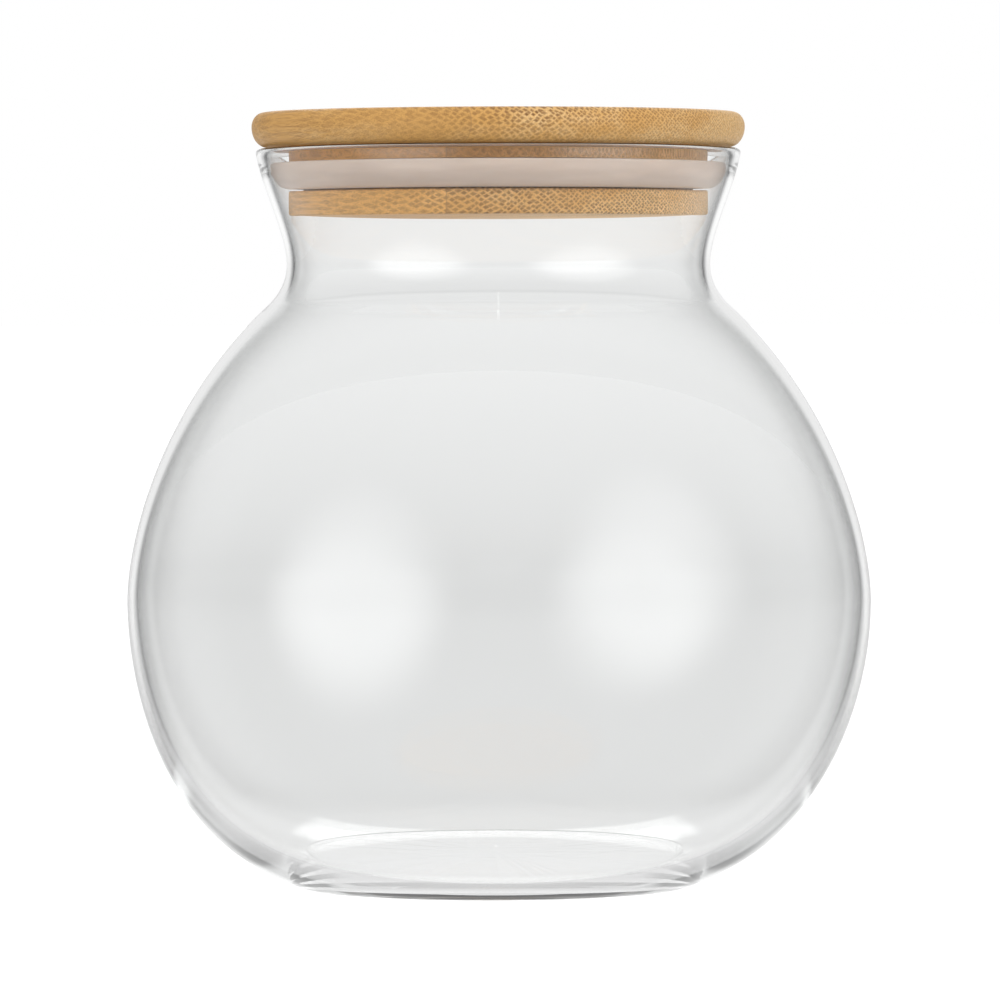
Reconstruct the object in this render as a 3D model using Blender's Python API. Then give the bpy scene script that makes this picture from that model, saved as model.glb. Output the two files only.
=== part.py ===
"""Food canister: a blown glass jar with a bamboo lid and a silicone seal.

Every piece is round about the Z axis. The jar stands on the XY plane, so Z is height above the table.
Outlines are drawn in millimetres as (radius, height) and spun into closed solids in metres.
"""

import math

import bmesh
import bpy
from mathutils import Matrix, Vector

MM = 0.001  # one millimetre in scene units

# Glass jar, outside
BELLY_R = 75.5  # widest radius of the belly
BELLY_Z = 58.3  # height of the widest point
SHOULDER_REACH = 78.7  # height at which the shoulder's curve would close above the widest point
SHOULDER_POWERS = (1.69, 2.06)
FOOT_REACH = 62.1  # depth at which the foot's curve would close below the widest point
FOOT_POWERS = (1.915, 3.33)
BASE_R = 37.5  # radius of the flat base
CREASE_Z = 118.5  # where the shoulder turns into the neck crease
CREASE_PULL = (-1.7, 1.9)  # curve handle from the crease towards the neck
NECK_R = 42.95
NECK_Z = 126.3
NECK_PULL_DOWN = 3.5  # curve handles at the neck, straight down and up
NECK_PULL_UP = 6.0
RIM_R = 49.15
RIM_Z = 149.7
RIM_PULL = (-0.9, -6.5)  # curve handle from the rim down the flared collar

# Glass jar, thickness
COLLAR_WALL = 1.6
BASE_WALL = 3.8
FLOOR_R = 37.0  # radius of the flat floor inside
RIM_WALL = 2.2  # the rim is fire-polished, so it is thicker than the collar
RIM_ROUND_H = 0.9  # height of its rounded top
RIM_BEAD_H = 3.2  # height of the thickened rim

# Lid
TOUCH = 0.3  # gap left between pieces that touch
LID_R = 50.0
LID_THICKNESS = 7.0
LID_WAIST = 0.58  # where the edge is widest, as a share of the thickness
LID_TOP_ROUND = 2.4  # how far the rounded edge comes in at the top face
LID_UNDER_ROUND = 3.0  # and at the underside
PLUG_R = 42.5
PLUG_DEPTH = 13.5  # from the rim down to the underside of the plug
PLUG_EDGE = 0.5  # bevel of the plug's lower edge

# Seal and its groove
GROOVE_LOW_Z = 141.2
GROOVE_HIGH_Z = 147.4
GROOVE_R = 39.5  # radius of the groove's bottom
SEAL_R = 46.3
SEAL_EDGE = 0.3  # bevel of the seal's top edge

SEGMENTS = 64  # facets round each piece
FOOT_STEPS = 8  # points along each stretch of an outline
SHOULDER_STEPS = 7
NECK_STEPS = 3
COLLAR_STEPS = 5
ROUND_STEPS = 4
SMOOTH_ANGLE = math.radians(35)


def clear_scene():
    for obj in list(bpy.data.objects):
        bpy.data.objects.remove(obj)


def bezier(start, handle_a, handle_b, end, steps):
    """Points of a cubic curve, without its start point."""
    points = []
    for i in range(1, steps + 1):
        t = i / steps
        u = 1 - t
        points.append(tuple(
            u**3 * a + 3 * u * u * t * b + 3 * u * t * t * c + t**3 * d
            for a, b, c, d in zip(start, handle_a, handle_b, end)
        ))
    return points


def arc(centre, radii, start_deg, end_deg, steps):
    """Points of an elliptical arc, both ends included. 0 degrees points outward and 90 up."""
    points = []
    for i in range(steps + 1):
        angle = math.radians(start_deg + (end_deg - start_deg) * i / steps)
        points.append((centre[0] + radii[0] * math.cos(angle), centre[1] + radii[1] * math.sin(angle)))
    return points


def belly_radius(z):
    """Outer radius of the belly at height z, from the base to the neck crease."""
    if z > BELLY_Z:
        reach, (inner, outer) = SHOULDER_REACH, SHOULDER_POWERS
    else:
        reach, (inner, outer) = FOOT_REACH, FOOT_POWERS
    return BELLY_R * (1 - (abs(z - BELLY_Z) / reach) ** inner) ** (1 / outer)


def belly_outline():
    """Outer side of the belly from the base up to the crease, with closer points where it turns fast."""
    points = [(BASE_R, 0)]
    for i in range(1, FOOT_STEPS):
        z = BELLY_Z * (1 - math.cos(math.radians(90 * i / FOOT_STEPS)))
        points.append((belly_radius(z), z))
    for i in range(SHOULDER_STEPS + 1):
        z = BELLY_Z + (CREASE_Z - BELLY_Z) * i / SHOULDER_STEPS
        points.append((belly_radius(z), z))
    return points


def jar_outer():
    """Outer side of the jar from the base up to the start of the rounded rim."""
    belly = belly_outline()
    crease = belly[-1]
    neck = (NECK_R, NECK_Z)
    rim = (RIM_R, RIM_Z - RIM_ROUND_H)
    crease_handle = (crease[0] + CREASE_PULL[0], crease[1] + CREASE_PULL[1])
    rim_handle = (rim[0] + RIM_PULL[0], rim[1] + RIM_PULL[1])
    neck_curve = bezier(crease, crease_handle, (NECK_R, NECK_Z - NECK_PULL_DOWN), neck, NECK_STEPS)
    collar_curve = bezier(neck, (NECK_R, NECK_Z + NECK_PULL_UP), rim_handle, rim, COLLAR_STEPS)
    return belly + neck_curve + collar_curve


def wall_at(z):
    """Thickness of the glass: heavy at the base, thinning to the collar."""
    return COLLAR_WALL + (BASE_WALL - COLLAR_WALL) * (1 - z / RIM_Z) ** 3


def inset(points):
    """The outline moved into the glass by the wall's thickness, square to the surface."""
    moved = []
    for i, (r, z) in enumerate(points):
        before = Vector(points[max(i - 1, 0)])
        after = Vector(points[min(i + 1, len(points) - 1)])
        along = (after - before).normalized()
        moved.append((r - along.y * wall_at(z), z + along.x * wall_at(z)))
    return moved


def jar_outline():
    """From the middle of the base, up the outside, over the rim and down the inside to the floor."""
    outer = jar_outer()
    rim_centre = (RIM_R - RIM_WALL / 2, RIM_Z - RIM_ROUND_H)
    rim = arc(rim_centre, (RIM_WALL / 2, RIM_ROUND_H), 0, 180, ROUND_STEPS)
    inner = [point for point in inset(outer) if BASE_WALL < point[1] < RIM_Z - RIM_BEAD_H]
    inner.reverse()
    return [(0, 0)] + outer[:-1] + rim + inner + [(FLOOR_R, BASE_WALL), (0, BASE_WALL)]


def top_board_outline():
    """A disc with a full-round edge, pulled in further at the underside."""
    low = RIM_Z + TOUCH
    high = low + LID_THICKNESS
    waist = low + LID_WAIST * LID_THICKNESS
    under = arc((LID_R - LID_UNDER_ROUND, waist), (LID_UNDER_ROUND, waist - low), -90, 0, ROUND_STEPS)
    over = arc((LID_R - LID_TOP_ROUND, waist), (LID_TOP_ROUND, high - waist), 0, 90, ROUND_STEPS)
    return [(0, low)] + under + over[1:] + [(0, high)]


def plug_board_outline():
    """A disc with a square groove round its side for the seal."""
    low = RIM_Z - PLUG_DEPTH
    high = RIM_Z
    low_edge = [(PLUG_R - PLUG_EDGE, low), (PLUG_R, low + PLUG_EDGE)]
    groove_low = [(PLUG_R, GROOVE_LOW_Z), (GROOVE_R, GROOVE_LOW_Z)]
    groove_high = [(GROOVE_R, GROOVE_HIGH_Z), (PLUG_R, GROOVE_HIGH_Z)]
    return [(0, low)] + low_edge + groove_low + groove_high + [(PLUG_R, high), (0, high)]


def seal_outline():
    """A ring with a flat top and a quarter-round side that narrows downward, closed on itself."""
    low = GROOVE_LOW_Z + TOUCH
    high = GROOVE_HIGH_Z - TOUCH
    inner_r = GROOVE_R + TOUCH
    bulge = SEAL_R - PLUG_R
    shoulder = high - SEAL_EDGE
    side = arc((PLUG_R, shoulder), (bulge, shoulder - low), -90, 0, ROUND_STEPS)
    return [(inner_r, low)] + side + [(SEAL_R - SEAL_EDGE, high), (inner_r, high)]


def material(name, colour, roughness, transmission=0.0, ior=1.5):
    mat = bpy.data.materials.new(name)
    mat.use_nodes = True
    shader = mat.node_tree.nodes["Principled BSDF"]
    shader.inputs["Base Color"].default_value = (*colour, 1)
    shader.inputs["Roughness"].default_value = roughness
    shader.inputs["Metallic"].default_value = 0.0
    shader.inputs["Transmission Weight"].default_value = transmission
    shader.inputs["IOR"].default_value = ior
    return mat


def spin(name, outline, closed, mat):
    """Turns an outline into a round solid about Z. An open outline starts and ends on the axis."""
    bm = bmesh.new()
    verts = [bm.verts.new((r * MM, 0, z * MM)) for r, z in outline]
    edges = [bm.edges.new(pair) for pair in zip(verts, verts[1:])]
    if closed:
        edges.append(bm.edges.new((verts[-1], verts[0])))
    bmesh.ops.spin(
        bm, geom=verts + edges, cent=(0, 0, 0), axis=(0, 0, 1),
        angle=math.tau, steps=SEGMENTS, use_merge=True,
    )
    bmesh.ops.remove_doubles(bm, verts=bm.verts, dist=1e-6)
    bmesh.ops.recalc_face_normals(bm, faces=bm.faces)
    mesh = bpy.data.meshes.new(name)
    bm.to_mesh(mesh)
    bm.free()
    mesh.materials.append(mat)
    mesh.shade_smooth()
    mesh.set_sharp_from_angle(angle=SMOOTH_ANGLE)
    obj = bpy.data.objects.new(name, mesh)
    bpy.context.collection.objects.link(obj)
    return obj


def raise_origin(obj, height):
    """Puts the piece's origin on the axis at a height, without moving the piece."""
    obj.data.transform(Matrix.Translation((0, 0, -height * MM)))
    obj.location.z = height * MM


def build():
    clear_scene()
    glass = material("clear_glass", (0.95, 0.97, 0.96), 0.02, transmission=1.0, ior=1.5)
    bamboo = material("bamboo", (0.60, 0.36, 0.14), 0.5)
    silicone = material("silicone", (0.55, 0.44, 0.36), 0.45)

    spin("glass_jar", jar_outline(), False, glass)
    seal = spin("silicone_seal", seal_outline(), True, silicone)
    plug = spin("lid_plug_board", plug_board_outline(), False, bamboo)
    top = spin("lid_top_board", top_board_outline(), False, bamboo)

    for piece in (seal, plug, top):
        raise_origin(piece, RIM_Z)
    for piece in (plug, top):
        piece.parent = seal
        piece.matrix_parent_inverse = Matrix.Translation((0, 0, -RIM_Z * MM))


build()
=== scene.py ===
"""Looks of the food canister: clear blown glass, a bamboo lid and a silicone seal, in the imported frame."""

import math

import bmesh
import bpy
from mathutils import Euler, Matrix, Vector


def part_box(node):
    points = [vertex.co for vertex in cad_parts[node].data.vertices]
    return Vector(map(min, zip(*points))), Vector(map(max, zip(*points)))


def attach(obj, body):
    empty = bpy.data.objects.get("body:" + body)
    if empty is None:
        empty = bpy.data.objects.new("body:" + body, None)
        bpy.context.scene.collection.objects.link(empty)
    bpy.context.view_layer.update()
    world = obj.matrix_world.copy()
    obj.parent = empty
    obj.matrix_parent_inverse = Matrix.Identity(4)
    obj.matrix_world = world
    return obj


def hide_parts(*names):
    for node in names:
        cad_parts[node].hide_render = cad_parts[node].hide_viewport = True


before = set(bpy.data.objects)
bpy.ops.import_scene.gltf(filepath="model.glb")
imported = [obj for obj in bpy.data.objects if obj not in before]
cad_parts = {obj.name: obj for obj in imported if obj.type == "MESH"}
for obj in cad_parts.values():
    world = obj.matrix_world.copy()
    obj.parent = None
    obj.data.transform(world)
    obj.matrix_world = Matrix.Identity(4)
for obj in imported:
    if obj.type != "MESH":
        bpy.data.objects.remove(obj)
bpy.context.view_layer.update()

MM = 0.001

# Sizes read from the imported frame, in metres
jar_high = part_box("glass_jar")[1]
top_low, top_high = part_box("lid_top_board")
plug_low, plug_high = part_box("lid_plug_board")
seal_low, seal_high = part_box("silicone_seal")

# The same in millimetres, as every outline below is
BELLY_R = jar_high[0] / MM
RIM_Z = jar_high[2] / MM
LID_R = top_high[0] / MM
PLUG_R = plug_high[0] / MM
SEAL_R = seal_high[0] / MM

AROUND = 192  # facets round each turned piece
MERGE_DISTANCE = 1e-6  # metres, for the points that meet on the axis
LIGHT_BOUNCES = 48  # enough for light that travels along inside the glass

# Jar: two superellipses for the belly, then a crease, a narrow neck and a collar that flares to the rim
BELLY_Z = 58.3
SHOULDER_REACH, SHOULDER_POWERS = 78.7, (1.69, 2.06)
FOOT_REACH, FOOT_POWERS = 62.1, (1.915, 3.33)
BELLY_STEPS = 28
BASE_R = 37.5
CREASE_Z, CREASE_HANDLE, CREASE_STEPS = 118.5, (-1.7, 1.9), 10
NECK_R, NECK_Z = 42.95, 126.3
NECK_HANDLE_DOWN, NECK_HANDLE_UP = (0, -3.5), (0, 6.0)
RIM_R, RIM_HANDLE = 49.15, (-0.9, -6.5)
RIM_WALL, RIM_ROUND_H, RIM_STEPS = 2.2, 0.9, 10
COLLAR_STEPS = 16
COLLAR_WALL, BASE_WALL, WALL_POWER = 1.6, 3.8, 3
INSIDE_TOP = 3.2  # the inner side ends this far under the rim, where the rim's round edge takes over
INSIDE_FLOOR_R = 37.0
FLAT_RING = 0.6  # a ring this far in from the edge of a flat face keeps its shading flat
BASE_LEAN = 1.1  # the base sits this far off the belly's middle
LEAN_TOP_Z, LEAN_POWER = 50.0, 1.5

# Lid and seal
LID_WAIST = 0.58  # share of the board's height where it is widest
LID_ROUND_UNDER, LID_ROUND_OVER, LID_STEPS = 3.0, 2.4, 14
PLUG_EDGE, PLUG_STEPS = 0.5, 5
GROOVE_LOW, GROOVE_HIGH, GROOVE_R = 141.2, 147.4, 39.5
SEAL_INNER_R = 39.8
SEAL_SHOULDER, SEAL_STEPS, SEAL_EDGE_STEPS = 0.3, 16, 4

# Glass
GLASS_TINT = (0.985, 0.99, 0.988, 1)
GLASS_IOR = 1.5
GLASS_SMOKE, GLASS_SMOKE_DENSITY = (0.58, 0.60, 0.60, 1), 4.0

# Silicone
SILICONE_PALE = (0.74, 0.61, 0.52, 1)
SILICONE_DULL = (0.65, 0.53, 0.45, 1)
SILICONE_HAZE_SCALE, SILICONE_HAZE_EDGE = (60, 60, 400), (0.3, 0.7)
SILICONE_ROUGHNESS, SILICONE_IOR = 0.38, 1.41
SILICONE_GLOW, SILICONE_GLOW_RADIUS, SILICONE_GLOW_SCALE = 0.4, (1.0, 0.8, 0.6), 0.002

# Bamboo, in millimetres: across the fibres, along them, and up
FIBRE_DEG = 30.0  # the fibres run towards the viewer's right by this angle from -Y
STRIP_WIDTH = 21.0
STRIP_START = 0.4  # of a strip, to the side of the middle
STRIP_TONES = (0.92, 1.06)
SEAM_EDGE = (0.4945, 0.4985, 0.0, 0.55)
TOP_GRAIN_Z, PLUG_GRAIN_Z = 153.5, 142.0  # heights that each board's pattern is measured from
# The plug's bamboo is painted brighter than the top board's: painted light that makes up for the shade under
# the lid and seal
TOP_BRIGHTNESS, PLUG_PAINTED_BRIGHTNESS = 1.0, 1.42
BAMBOO_PALE = (0.74, 0.49, 0.22, 1)
BAMBOO_TAN = (0.60, 0.325, 0.088, 1)
BAMBOO_BROWN = (0.165, 0.066, 0.014, 1)
BAMBOO_SEAM = (0.30, 0.16, 0.06, 1)
CROWDING_START = 30.0  # the net gets finer from this far left of the middle
NET_ACROSS, NET_CROWDING = 0.60, 0.0058
NET_UP, NET_UP_CROWDING = 0.78, 0.011
NET_RANDOMNESS = 0.42
NET_EDGE = (0.20, 0.46, 1.0, 0.0)
NET_TONES = (0.0, 1.0, 0.7, 1.0)
NET_BY_HEIGHT = (-4.2, 3.0, 0.45, 1.0)
NET_FADE_RIGHT = (16.0, 42.0, 1.0, 0.40)
NET_FADE_LEFT = (-44.0, -22.0, 0.42, 1.0)
NET_BY_PATCH = (0.25, 0.6, 0.95, 0.70)
SWAY_SCALE, SWAY = (0.22, 0.03, 0.22), 1.8
STREAK_SCALE, STREAK_SHARE = (1.5, 0.025, 1.7), (0.40, 0.70, 0.0, 0.75)
FINE_SCALE, FINE_SHARE = (6.0, 0.12, 6.0), (0.42, 0.70, 0.0, 0.42)
PATCH_SCALE, PATCH_SHARE, PATCH_SIDE = (0.07, 0.012, 0.16), (0.15, 0.55), -0.006
BAMBOO_ROUGHNESS = (0.2, 0.8, 0.42, 0.58)
BAMBOO_BUMP, BAMBOO_BUMP_HEIGHT, BUNDLE_BUMP = 0.3, 0.0001, 0.5

# Camera, in metres
CAMERA_PLACE = (0.0003, -1.50, 0.118)
CAMERA_AIM_Z = 0.0784
CAMERA_ROLL_DEG = 0.12
CAMERA_SENSOR, CAMERA_LENS, CAMERA_CLIP = 36, 266, 100

# Floor, in metres, with what its white looks like straight on and through the glass
FLOOR_SIZE = 40.0
FLOOR_BASE = (0.25, 0.25, 0.25, 1)
WHITE = 1.0
FLOOR_THROUGH_GLASS = 0.515
FLOOR_FAR, FLOOR_FADE_START = 0.725, 1.4
FLOOR_GLOW_NEAR_BASE = (0.045, 0.12, 0.18, 0.0)  # painted light: the floor glows brighter right round the base
HORIZON_THROUGH_GLASS = 0.925
SKY_THROUGH_GLASS, SKY_START = 0.95, 0.012

# The studio as the glass mirrors it: directions, how far each thing reaches in degrees, and brightness
LIGHT_LEFT, LIGHT_LEFT_REACH = (-0.710, -0.700, 0.085), 37
LIGHT_RIGHT, LIGHT_RIGHT_REACH = (0.764, -0.631, 0.132), 38
LIGHT_RADIANCE = 1.55
BACKDROP, BACKDROP_REACH, BACKDROP_CORE = (0.0, 1.0, 0.1), 29, 19
BACKDROP_RADIANCE = 0.40
BACK_HALF, BACK_HALF_REACH, BACK_HALF_RADIANCE = (0.0, 1.0, -0.45), 115, 0.27
SURROUND, FLOOR_MIRRORED = 0.40, 0.72
FLOOR_EDGE = (-0.15, 0.05)
CLOTH_INNER_EDGE, CLOTH_OUTER_EDGE = (0.38, 0.47), (0.85, 0.52)
CLOTH_FRONT_EDGE, CLOTH_LOW_EDGE = (0.0, 0.3), (-0.45, -0.15)
CLOTH_SHADE = 0.75
OVERHEAD_NEAR_EDGE, OVERHEAD_FAR_EDGE, OVERHEAD_SIDE_EDGE = (1.15, 1.30), (2.0, 4.5), (0.44, 0.54)
OVERHEAD_RADIANCE = 2.6
LEAST_RISE = 0.01  # keeps the overhead light's plane clear of the horizon

# Lamps that light the lid: name, place in metres, diameter in metres, power in watts
LAMPS = (
    ("left_softbox", (-2.1, -2.2, 1.4), 1.6, 22),
    ("right_softbox", (2.25, -2.0, 1.6), 1.6, 30),
    ("top_softbox", (0.2, -0.4, 3.0), 2.2, 14),
)
LAMP_AIM = (0, 0, 0.08)


# ---------------------------------------------------------------- outlines, in millimetres

def bezier(start, handle_a, handle_b, end, steps):
    """Points of a cubic curve, without its start."""
    points = []
    for i in range(1, steps + 1):
        t = i / steps
        u = 1 - t
        points.append(tuple(
            u**3 * a + 3 * u * u * t * b + 3 * u * t * t * c + t**3 * d
            for a, b, c, d in zip(start, handle_a, handle_b, end)
        ))
    return points


def arc(centre, radii, start_deg, end_deg, steps):
    points = []
    for i in range(steps + 1):
        angle = math.radians(start_deg + (end_deg - start_deg) * i / steps)
        points.append((centre[0] + radii[0] * math.cos(angle), centre[1] + radii[1] * math.sin(angle)))
    return points


def moved(point, step):
    return point[0] + step[0], point[1] + step[1]


def belly_radius(z):
    if z > BELLY_Z:
        reach, (inner, outer) = SHOULDER_REACH, SHOULDER_POWERS
    else:
        reach, (inner, outer) = FOOT_REACH, FOOT_POWERS
    return BELLY_R * (1 - (abs(z - BELLY_Z) / reach) ** inner) ** (1 / outer)


def jar_outer():
    points = [(BASE_R, 0)]
    for i in range(1, BELLY_STEPS):
        z = BELLY_Z * (1 - math.cos(math.radians(90 * i / BELLY_STEPS)))
        points.append((belly_radius(z), z))
    for i in range(BELLY_STEPS + 1):
        z = BELLY_Z + (CREASE_Z - BELLY_Z) * i / BELLY_STEPS
        points.append((belly_radius(z), z))
    crease = points[-1]
    neck = (NECK_R, NECK_Z)
    rim = (RIM_R, RIM_Z - RIM_ROUND_H)
    points += bezier(crease, moved(crease, CREASE_HANDLE), moved(neck, NECK_HANDLE_DOWN), neck, CREASE_STEPS)
    points += bezier(neck, moved(neck, NECK_HANDLE_UP), moved(rim, RIM_HANDLE), rim, COLLAR_STEPS)
    return points


def wall_at(z):
    return COLLAR_WALL + (BASE_WALL - COLLAR_WALL) * (1 - z / RIM_Z) ** WALL_POWER


def inset(points):
    """The outline moved in by the wall's thickness."""
    inner = []
    for i, (r, z) in enumerate(points):
        before = Vector(points[max(i - 1, 0)])
        after = Vector(points[min(i + 1, len(points) - 1)])
        along = (after - before).normalized()
        inner.append((r - along.y * wall_at(z), z + along.x * wall_at(z)))
    return inner


def jar_outline():
    outer = jar_outer()
    rim = arc((RIM_R - RIM_WALL / 2, RIM_Z - RIM_ROUND_H), (RIM_WALL / 2, RIM_ROUND_H), 0, 180, RIM_STEPS)
    inner = [p for p in inset(outer) if BASE_WALL < p[1] < RIM_Z - INSIDE_TOP]
    inner.reverse()
    floor = [(INSIDE_FLOOR_R, BASE_WALL), (INSIDE_FLOOR_R - FLAT_RING, BASE_WALL), (0, BASE_WALL)]
    return [(0, 0), (BASE_R - FLAT_RING, 0)] + outer[:-1] + rim + inner + floor


# ---------------------------------------------------------------- meshes

def spin(name, outline, closed=False, sharp_deg=35):
    """A turned piece from an outline in millimetres. A closed outline gives a ring."""
    bm = bmesh.new()
    verts = [bm.verts.new((r * MM, 0, z * MM)) for r, z in outline]
    edges = [bm.edges.new(pair) for pair in zip(verts, verts[1:])]
    if closed:
        edges.append(bm.edges.new((verts[-1], verts[0])))
    bmesh.ops.spin(
        bm, geom=verts + edges, cent=(0, 0, 0), axis=(0, 0, 1),
        angle=math.tau, steps=AROUND, use_merge=True,
    )
    bmesh.ops.remove_doubles(bm, verts=bm.verts, dist=MERGE_DISTANCE)
    bmesh.ops.recalc_face_normals(bm, faces=bm.faces)
    mesh = bpy.data.meshes.new(name)
    bm.to_mesh(mesh)
    bm.free()
    mesh.shade_smooth()
    mesh.set_sharp_from_angle(angle=math.radians(sharp_deg))
    obj = bpy.data.objects.new(name, mesh)
    bpy.context.collection.objects.link(obj)
    return obj


# ---------------------------------------------------------------- materials

class Nodes:
    """Short calls for building the node tree of a material or a world."""

    def __init__(self, owner):
        owner.use_nodes = True
        self.tree = owner.node_tree

    def add(self, kind, **values):
        node = self.tree.nodes.new(kind)
        for key, value in values.items():
            setattr(node, key, value)
        return node

    def link(self, a, b):
        self.tree.links.new(a, b)

    def put(self, socket, value):
        if isinstance(value, bpy.types.NodeSocket):
            self.link(value, socket)
        else:
            socket.default_value = value

    def math(self, operation, a, b=0.0, c=0.0):
        node = self.add("ShaderNodeMath", operation=operation)
        for socket, value in zip(node.inputs, (a, b, c)):
            self.put(socket, value)
        return node.outputs[0]

    def mix(self, factor, a, b):
        node = self.add("ShaderNodeMix", data_type="RGBA")
        self.put(node.inputs["Factor"], factor)
        self.put(node.inputs[6], a)
        self.put(node.inputs[7], b)
        return node.outputs[2]

    def blend(self, factor, a, b):
        node = self.add("ShaderNodeMix", data_type="FLOAT")
        self.put(node.inputs[0], factor)
        self.put(node.inputs[2], a)
        self.put(node.inputs[3], b)
        return node.outputs[0]

    def ramp(self, value, low, high, to_low=0.0, to_high=1.0, shape="SMOOTHSTEP"):
        node = self.add("ShaderNodeMapRange", interpolation_type=shape)
        for socket, v in zip(node.inputs, (value, low, high, to_low, to_high)):
            self.put(socket, v)
        return node.outputs[0]

    def noise(self, vector, scale, detail=2.0, rough=0.5):
        """Noise with its own scale along each axis."""
        stretched = self.add("ShaderNodeMapping")
        self.link(vector, stretched.inputs["Vector"])
        stretched.inputs["Scale"].default_value = scale
        node = self.add("ShaderNodeTexNoise")
        self.link(stretched.outputs[0], node.inputs["Vector"])
        node.inputs["Scale"].default_value = 1.0
        node.inputs["Detail"].default_value = detail
        node.inputs["Roughness"].default_value = rough
        return node.outputs["Fac"]

    def split(self, vector):
        node = self.add("ShaderNodeSeparateXYZ")
        self.link(vector, node.inputs[0])
        return node.outputs

    def shader_mix(self, factor, a, b):
        node = self.add("ShaderNodeMixShader")
        for socket, value in zip(node.inputs, (factor, a, b)):
            self.link(value, socket)
        return node.outputs[0]

    def white_or(self, seen):
        """White straight from the camera, and otherwise the level given."""
        path = self.add("ShaderNodeLightPath")
        return self.blend(path.outputs["Is Camera Ray"], seen, WHITE)

    def mirrored(self):
        """1 for light that has been mirrored by the glass and not scattered by a matt surface."""
        path = self.add("ShaderNodeLightPath")
        mirrored = self.math("MINIMUM", path.outputs["Glossy Depth"], 1.0)
        unlit = self.math("SUBTRACT", 1.0, self.math("MINIMUM", path.outputs["Diffuse Depth"], 1.0))
        return self.math("MULTIPLY", mirrored, unlit)


class Material(Nodes):
    def __init__(self, name):
        self.mat = bpy.data.materials.new(name)
        super().__init__(self.mat)
        self.shader = self.tree.nodes["Principled BSDF"]
        self.out = self.tree.nodes["Material Output"]

    def coords(self):
        return self.add("ShaderNodeTexCoord").outputs["Object"]

    def set(self, **values):
        """Values for the shader's sockets, with their names in lower case and an underscore for a space."""
        sockets = {socket.name.lower().replace(" ", "_"): socket for socket in self.shader.inputs}
        for key, value in values.items():
            sockets[key].default_value = value


def glass_material():
    n = Material("blown_glass")
    n.set(base_color=GLASS_TINT, roughness=0.0, ior=GLASS_IOR, transmission_weight=1.0)
    absorb = n.add("ShaderNodeVolumeAbsorption")
    absorb.inputs["Color"].default_value = GLASS_SMOKE
    absorb.inputs["Density"].default_value = GLASS_SMOKE_DENSITY
    n.link(absorb.outputs[0], n.out.inputs["Volume"])
    return n.mat


def silicone_material():
    n = Material("silicone")
    haze = n.ramp(n.noise(n.coords(), SILICONE_HAZE_SCALE, 3.0), *SILICONE_HAZE_EDGE)
    n.link(n.mix(haze, SILICONE_PALE, SILICONE_DULL), n.shader.inputs["Base Color"])
    n.set(roughness=SILICONE_ROUGHNESS, ior=SILICONE_IOR)
    n.set(subsurface_weight=SILICONE_GLOW, subsurface_radius=SILICONE_GLOW_RADIUS)
    n.set(subsurface_scale=SILICONE_GLOW_SCALE)
    return n.mat


def fibre_net(n, place, side):
    """Cut bundles of fibre as a staggered net, which gets finer to the right, and how dark each one is."""
    across, _, height = n.split(place)
    spread = n.math("MULTIPLY", across, NET_ACROSS)
    spread = n.math("MULTIPLY_ADD", n.math("MULTIPLY", side, side), NET_CROWDING, spread)
    spread = n.math("MULTIPLY_ADD", n.noise(place, SWAY_SCALE, 3.0), SWAY, spread)
    raised = n.math("MULTIPLY", height, n.math("MULTIPLY_ADD", side, NET_UP_CROWDING, NET_UP))
    lattice = n.add("ShaderNodeCombineXYZ")
    n.link(n.math("ADD", spread, raised), lattice.inputs[0])
    n.link(n.math("SUBTRACT", spread, raised), lattice.inputs[1])
    cells = n.add("ShaderNodeTexVoronoi", voronoi_dimensions="2D", distance="CHEBYCHEV")
    n.link(lattice.outputs[0], cells.inputs["Vector"])
    cells.inputs["Scale"].default_value = 1.0
    cells.inputs["Randomness"].default_value = NET_RANDOMNESS
    tone = n.add("ShaderNodeSeparateColor")
    n.link(cells.outputs["Color"], tone.inputs[0])
    bundle = n.ramp(cells.outputs["Distance"], *NET_EDGE)
    return n.math("MULTIPLY", bundle, n.ramp(tone.outputs[0], *NET_TONES, shape="LINEAR"))


def net_strength(n, place, skin_up, patch):
    """The net is denser towards the skin of the culm and fades to both sides."""
    across, _, height = n.split(place)
    depth = n.ramp(n.math("MULTIPLY", height, skin_up), *NET_BY_HEIGHT)
    sides = n.math("MULTIPLY", n.ramp(across, *NET_FADE_RIGHT), n.ramp(across, *NET_FADE_LEFT))
    return n.math("MULTIPLY", n.math("MULTIPLY", depth, sides), n.ramp(patch, *NET_BY_PATCH))


def glued_strips(n, place, colour, painted_brightness, seed):
    """Strips glued side by side, each a little lighter or darker than the next, with a thin seam between."""
    across = n.split(place)[0]
    strip = n.math("DIVIDE", n.math("ADD", across, STRIP_START * STRIP_WIDTH), STRIP_WIDTH)
    tone = n.add("ShaderNodeTexWhiteNoise", noise_dimensions="1D")
    n.link(n.math("ADD", n.math("FLOOR", strip), seed), tone.inputs["W"])
    # Above 1 this brightness factor is painted light, a brighter copy of the same bamboo
    darkest, palest = (painted_brightness * tone_limit for tone_limit in STRIP_TONES)
    value = n.ramp(tone.outputs["Value"], 0.0, 1.0, darkest, palest, shape="LINEAR")
    from_middle = n.math("ABSOLUTE", n.math("SUBTRACT", n.math("FRACT", strip), 0.5))
    toned = n.add("ShaderNodeHueSaturation")
    n.link(value, toned.inputs["Value"])
    n.link(n.mix(n.ramp(from_middle, *SEAM_EDGE), colour, BAMBOO_SEAM), toned.inputs["Color"])
    return toned.outputs[0]


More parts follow.
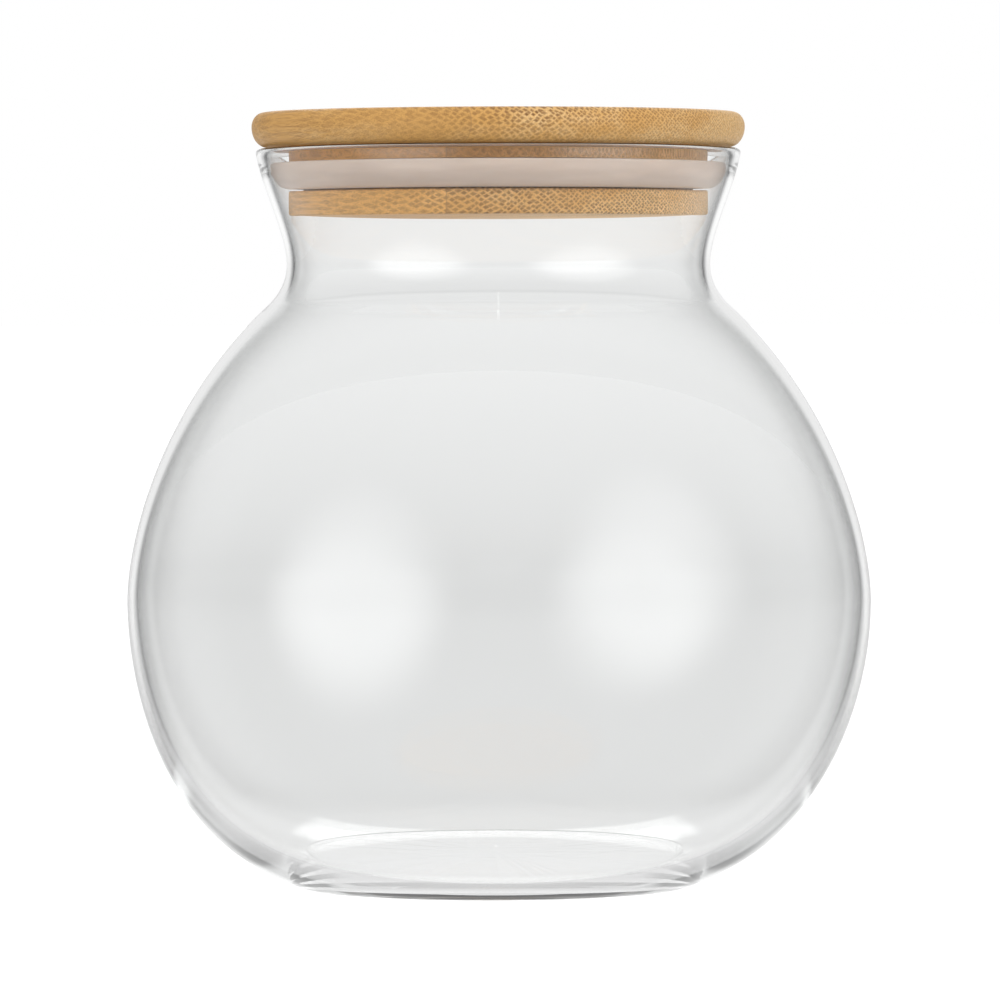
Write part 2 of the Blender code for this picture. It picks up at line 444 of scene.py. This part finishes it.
def bamboo_material(name, skin_up, painted_brightness, middle_z):
    """Bamboo as one pattern through the solid: bundles in a staggered net across, long streaks along.

    skin_up is 1 where the dense outer side of the culm faces up, and -1 where it faces down.
    """
    n = Material(name)
    turned = n.add("ShaderNodeMapping")
    n.link(n.coords(), turned.inputs["Vector"])
    turned.inputs["Rotation"].default_value = (0, 0, math.radians(-FIBRE_DEG))
    turned.inputs["Scale"].default_value = (1 / MM, 1 / MM, 1 / MM)
    turned.inputs["Location"].default_value = (0, 0, -middle_z)
    place = turned.outputs[0]
    side = n.math("MAXIMUM", n.math("ADD", n.split(place)[0], CROWDING_START), 0.0)
    streak = n.noise(place, STREAK_SCALE, 4.0, 0.62)
    fine = n.noise(place, FINE_SCALE, 2.0, 0.6)
    patch = n.noise(place, PATCH_SCALE)
    bundle = fibre_net(n, place, side)

    patchy = n.ramp(n.math("MULTIPLY_ADD", side, PATCH_SIDE, patch), *PATCH_SHARE)
    colour = n.mix(patchy, BAMBOO_PALE, BAMBOO_TAN)
    colour = n.mix(n.ramp(streak, *STREAK_SHARE), colour, BAMBOO_TAN)
    colour = n.mix(n.ramp(fine, *FINE_SHARE), colour, BAMBOO_BROWN)
    strength = n.math("MULTIPLY", bundle, net_strength(n, place, skin_up, patch))
    colour = n.mix(strength, colour, BAMBOO_BROWN)
    n.link(glued_strips(n, place, colour, painted_brightness, -middle_z), n.shader.inputs["Base Color"])

    n.link(n.ramp(streak, *BAMBOO_ROUGHNESS), n.shader.inputs["Roughness"])
    bump = n.add("ShaderNodeBump")
    bump.inputs["Strength"].default_value = BAMBOO_BUMP
    bump.inputs["Distance"].default_value = BAMBOO_BUMP_HEIGHT
    n.link(n.math("SUBTRACT", fine, n.math("MULTIPLY", bundle, BUNDLE_BUMP)), bump.inputs["Height"])
    n.link(bump.outputs[0], n.shader.inputs["Normal"])
    return n.mat


# ---------------------------------------------------------------- pieces

def make_jar():
    jar = spin("blown_jar", jar_outline(), sharp_deg=60)
    jar.data.materials.append(glass_material())
    for vert in jar.data.vertices:
        vert.co.x -= BASE_LEAN * MM * max(0.0, 1 - vert.co.z / MM / LEAN_TOP_Z) ** LEAN_POWER
    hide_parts("glass_jar")
    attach(jar, "jar")
    jar.visible_shadow = False  # clear glass lets the lamps' light through to the lid


def make_top_board():
    low, high = top_low[2] / MM, top_high[2] / MM
    waist = low + LID_WAIST * (high - low)
    under = arc((LID_R - LID_ROUND_UNDER, waist), (LID_ROUND_UNDER, waist - low), -90, 0, LID_STEPS)
    over = arc((LID_R - LID_ROUND_OVER, waist), (LID_ROUND_OVER, high - waist), 0, 90, LID_STEPS)
    top = spin("bamboo_top", [(0, low)] + under + over[1:] + [(0, high)])
    top.data.materials.append(bamboo_material("bamboo_top_grain", 1, TOP_BRIGHTNESS, TOP_GRAIN_Z))
    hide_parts("lid_top_board")
    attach(top, "lid")


def make_plug_board():
    low, high = plug_low[2] / MM, plug_high[2] / MM
    edge_r = PLUG_R - PLUG_EDGE
    edge = (PLUG_EDGE, PLUG_EDGE)
    outline = [(0, low)] + arc((edge_r, low + PLUG_EDGE), edge, -90, 0, PLUG_STEPS)
    outline += arc((edge_r, GROOVE_LOW - PLUG_EDGE), edge, 0, 90, PLUG_STEPS)
    outline += [(GROOVE_R, GROOVE_LOW), (GROOVE_R, GROOVE_HIGH), (PLUG_R, GROOVE_HIGH)]
    outline += [(PLUG_R, high), (0, high)]
    plug = spin("bamboo_plug", outline)
    # Painted light: the plug's bamboo is a brighter copy of the top board's, in place of the shade under the
    # lid and seal
    plug.data.materials.append(bamboo_material("bamboo_plug_grain", -1, PLUG_PAINTED_BRIGHTNESS, PLUG_GRAIN_Z))
    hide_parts("lid_plug_board")
    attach(plug, "lid")


def make_seal():
    low, high = seal_low[2] / MM, seal_high[2] / MM
    shoulder = high - SEAL_SHOULDER
    bulge = (SEAL_R - PLUG_R, shoulder - low)
    edge = (SEAL_SHOULDER, SEAL_SHOULDER)
    side = arc((PLUG_R, shoulder), bulge, -90, 0, SEAL_STEPS)
    over = arc((SEAL_R - SEAL_SHOULDER, shoulder), edge, 0, 90, SEAL_EDGE_STEPS)
    seal = spin("seal_ring", [(SEAL_INNER_R, low)] + side + over[1:] + [(SEAL_INNER_R, high)], closed=True)
    seal.data.materials.append(silicone_material())
    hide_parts("silicone_seal")
    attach(seal, "seal")


# ---------------------------------------------------------------- studio

def make_camera():
    data = bpy.data.cameras.new("camera")
    data.sensor_width = CAMERA_SENSOR
    data.lens = CAMERA_LENS
    data.clip_end = CAMERA_CLIP
    cam = bpy.data.objects.new("camera", data)
    cam.location = CAMERA_PLACE
    pitch = math.atan2(CAMERA_PLACE[2] - CAMERA_AIM_Z, -CAMERA_PLACE[1])
    cam.rotation_euler = Euler((math.radians(90) - pitch, math.radians(CAMERA_ROLL_DEG), 0))
    bpy.context.collection.objects.link(cam)
    bpy.context.scene.camera = cam


def make_floor():
    """A white floor. Through the glass it gets brighter far off, to meet the white beyond without an edge.

    In what the glass mirrors it is left out, and the world below the horizon stands in for it.
    """
    mesh = bpy.data.meshes.new("floor")
    corners = [(-1, -1), (1, -1), (1, 1), (-1, 1)]
    mesh.from_pydata([(x * FLOOR_SIZE, y * FLOOR_SIZE, 0) for x, y in corners], [], [(0, 1, 2, 3)])
    floor = bpy.data.objects.new("floor", mesh)
    bpy.context.collection.objects.link(floor)
    n = Material("floor_white")
    n.set(base_color=FLOOR_BASE, roughness=1.0, specular_ior_level=0.0, emission_color=(1, 1, 1, 1))
    away = n.add("ShaderNodeVectorMath", operation="LENGTH")
    n.link(n.coords(), away.inputs[0])
    distance = away.outputs["Value"]
    share = n.math("MINIMUM", n.math("DIVIDE", FLOOR_FADE_START, distance), 1.0)
    seen = n.math("MULTIPLY_ADD", share, FLOOR_THROUGH_GLASS - FLOOR_FAR, FLOOR_FAR)
    # Painted light: a pool of extra glow on the floor right round the base
    seen = n.math("ADD", seen, n.ramp(distance, *FLOOR_GLOW_NEAR_BASE))
    n.link(n.white_or(seen), n.shader.inputs["Emission Strength"])
    left_out = n.add("ShaderNodeBsdfTransparent").outputs[0]
    n.link(n.shader_mix(n.mirrored(), n.shader.outputs[0], left_out), n.out.inputs["Surface"])
    mesh.materials.append(n.mat)
    floor.visible_glossy = False


def glow(n, way, direction, reach_deg, core_deg=0):
    """A soft round area of the studio: 1 within the core, and 0 beyond its reach."""
    dot = n.add("ShaderNodeVectorMath", operation="DOT_PRODUCT")
    n.link(way, dot.inputs[0])
    dot.inputs[1].default_value = Vector(direction).normalized()
    reach, core = (math.cos(math.radians(angle)) for angle in (reach_deg, core_deg))
    return n.ramp(dot.outputs["Value"], reach, core, shape="SMOOTHERSTEP")


def cloths(n, way):
    """Dark cloths that stand behind the jar on both sides, between the backdrop and the two lights."""
    x, y, z = n.split(way)
    level = n.math("SQRT", n.math("SUBTRACT", 1.0, n.math("MULTIPLY", z, z)))
    aside = n.math("DIVIDE", n.math("ABSOLUTE", x), level)
    cloth = n.math("MULTIPLY", n.ramp(aside, *CLOTH_INNER_EDGE), n.ramp(aside, *CLOTH_OUTER_EDGE))
    cloth = n.math("MULTIPLY", cloth, n.ramp(y, *CLOTH_FRONT_EDGE))
    return n.math("MULTIPLY", cloth, n.ramp(z, *CLOTH_LOW_EDGE))


def overhead_light(n, way):
    """A softbox overhead, as a rectangle on a level ceiling."""
    x, y, z = n.split(way)
    above = n.math("MAXIMUM", z, LEAST_RISE)
    back = n.math("DIVIDE", y, above)
    sideways = n.math("ABSOLUTE", n.math("DIVIDE", x, above))
    light = n.math("MULTIPLY", n.ramp(back, *OVERHEAD_NEAR_EDGE), n.ramp(back, *OVERHEAD_FAR_EDGE, 1.0, 0.0))
    return n.math("MULTIPLY", light, n.ramp(sideways, *OVERHEAD_SIDE_EDGE, 1.0, 0.0))


def mirrored_studio(n, way):
    """A dim room with a paler half behind the jar, dark cloths at its sides and three soft lights."""
    room = n.ramp(n.split(way)[2], *FLOOR_EDGE, FLOOR_MIRRORED, SURROUND)
    backdrop = glow(n, way, BACKDROP, BACKDROP_REACH, BACKDROP_CORE)
    room = n.math("MULTIPLY_ADD", backdrop, BACKDROP_RADIANCE, room)
    room = n.math("MULTIPLY_ADD", glow(n, way, BACK_HALF, BACK_HALF_REACH), BACK_HALF_RADIANCE, room)
    room = n.math("MULTIPLY", room, n.math("MULTIPLY_ADD", cloths(n, way), -CLOTH_SHADE, 1.0))
    left = glow(n, way, LIGHT_LEFT, LIGHT_LEFT_REACH)
    right = glow(n, way, LIGHT_RIGHT, LIGHT_RIGHT_REACH)
    lit = n.math("MULTIPLY_ADD", n.math("ADD", left, right), LIGHT_RADIANCE, room)
    return n.math("MULTIPLY_ADD", overhead_light(n, way), OVERHEAD_RADIANCE, lit)


def make_world():
    """White where it is looked at, directly or through the glass, and a studio where the glass mirrors it."""
    world = bpy.data.worlds.new("studio")
    bpy.context.scene.world = world
    n = Nodes(world)
    way = n.add("ShaderNodeTexCoord").outputs["Generated"]
    white = n.tree.nodes["Background"]
    white.inputs["Color"].default_value = (1, 1, 1, 1)
    sky = n.ramp(n.split(way)[2], 0.0, SKY_START, HORIZON_THROUGH_GLASS, SKY_THROUGH_GLASS)
    n.link(n.white_or(sky), white.inputs["Strength"])
    studio = n.add("ShaderNodeBackground")
    n.link(mirrored_studio(n, way), studio.inputs["Strength"])
    surface = n.shader_mix(n.mirrored(), white.outputs[0], studio.outputs[0])
    n.link(surface, n.tree.nodes["World Output"].inputs["Surface"])


def soft_light(name, place, size, power):
    """A round lamp that lights matt surfaces only, since the world holds what the glass shows."""
    data = bpy.data.lights.new(name, "AREA")
    data.shape = "DISK"
    data.size = size
    data.energy = power
    lamp = bpy.data.objects.new(name, data)
    lamp.location = place
    aim = Vector(LAMP_AIM) - Vector(place)
    lamp.rotation_euler = aim.to_track_quat("-Z", "Y").to_euler()
    lamp.visible_glossy = False
    lamp.visible_transmission = False
    bpy.context.collection.objects.link(lamp)


make_camera()
make_world()
make_floor()
for lamp_values in LAMPS:
    soft_light(*lamp_values)
make_jar()
make_top_board()
make_plug_board()
make_seal()

bpy.context.scene.view_settings.view_transform = "Standard"
bpy.context.scene.cycles.max_bounces = LIGHT_BOUNCES
bpy.context.scene.cycles.glossy_bounces = LIGHT_BOUNCES
bpy.context.scene.cycles.transmission_bounces = LIGHT_BOUNCES
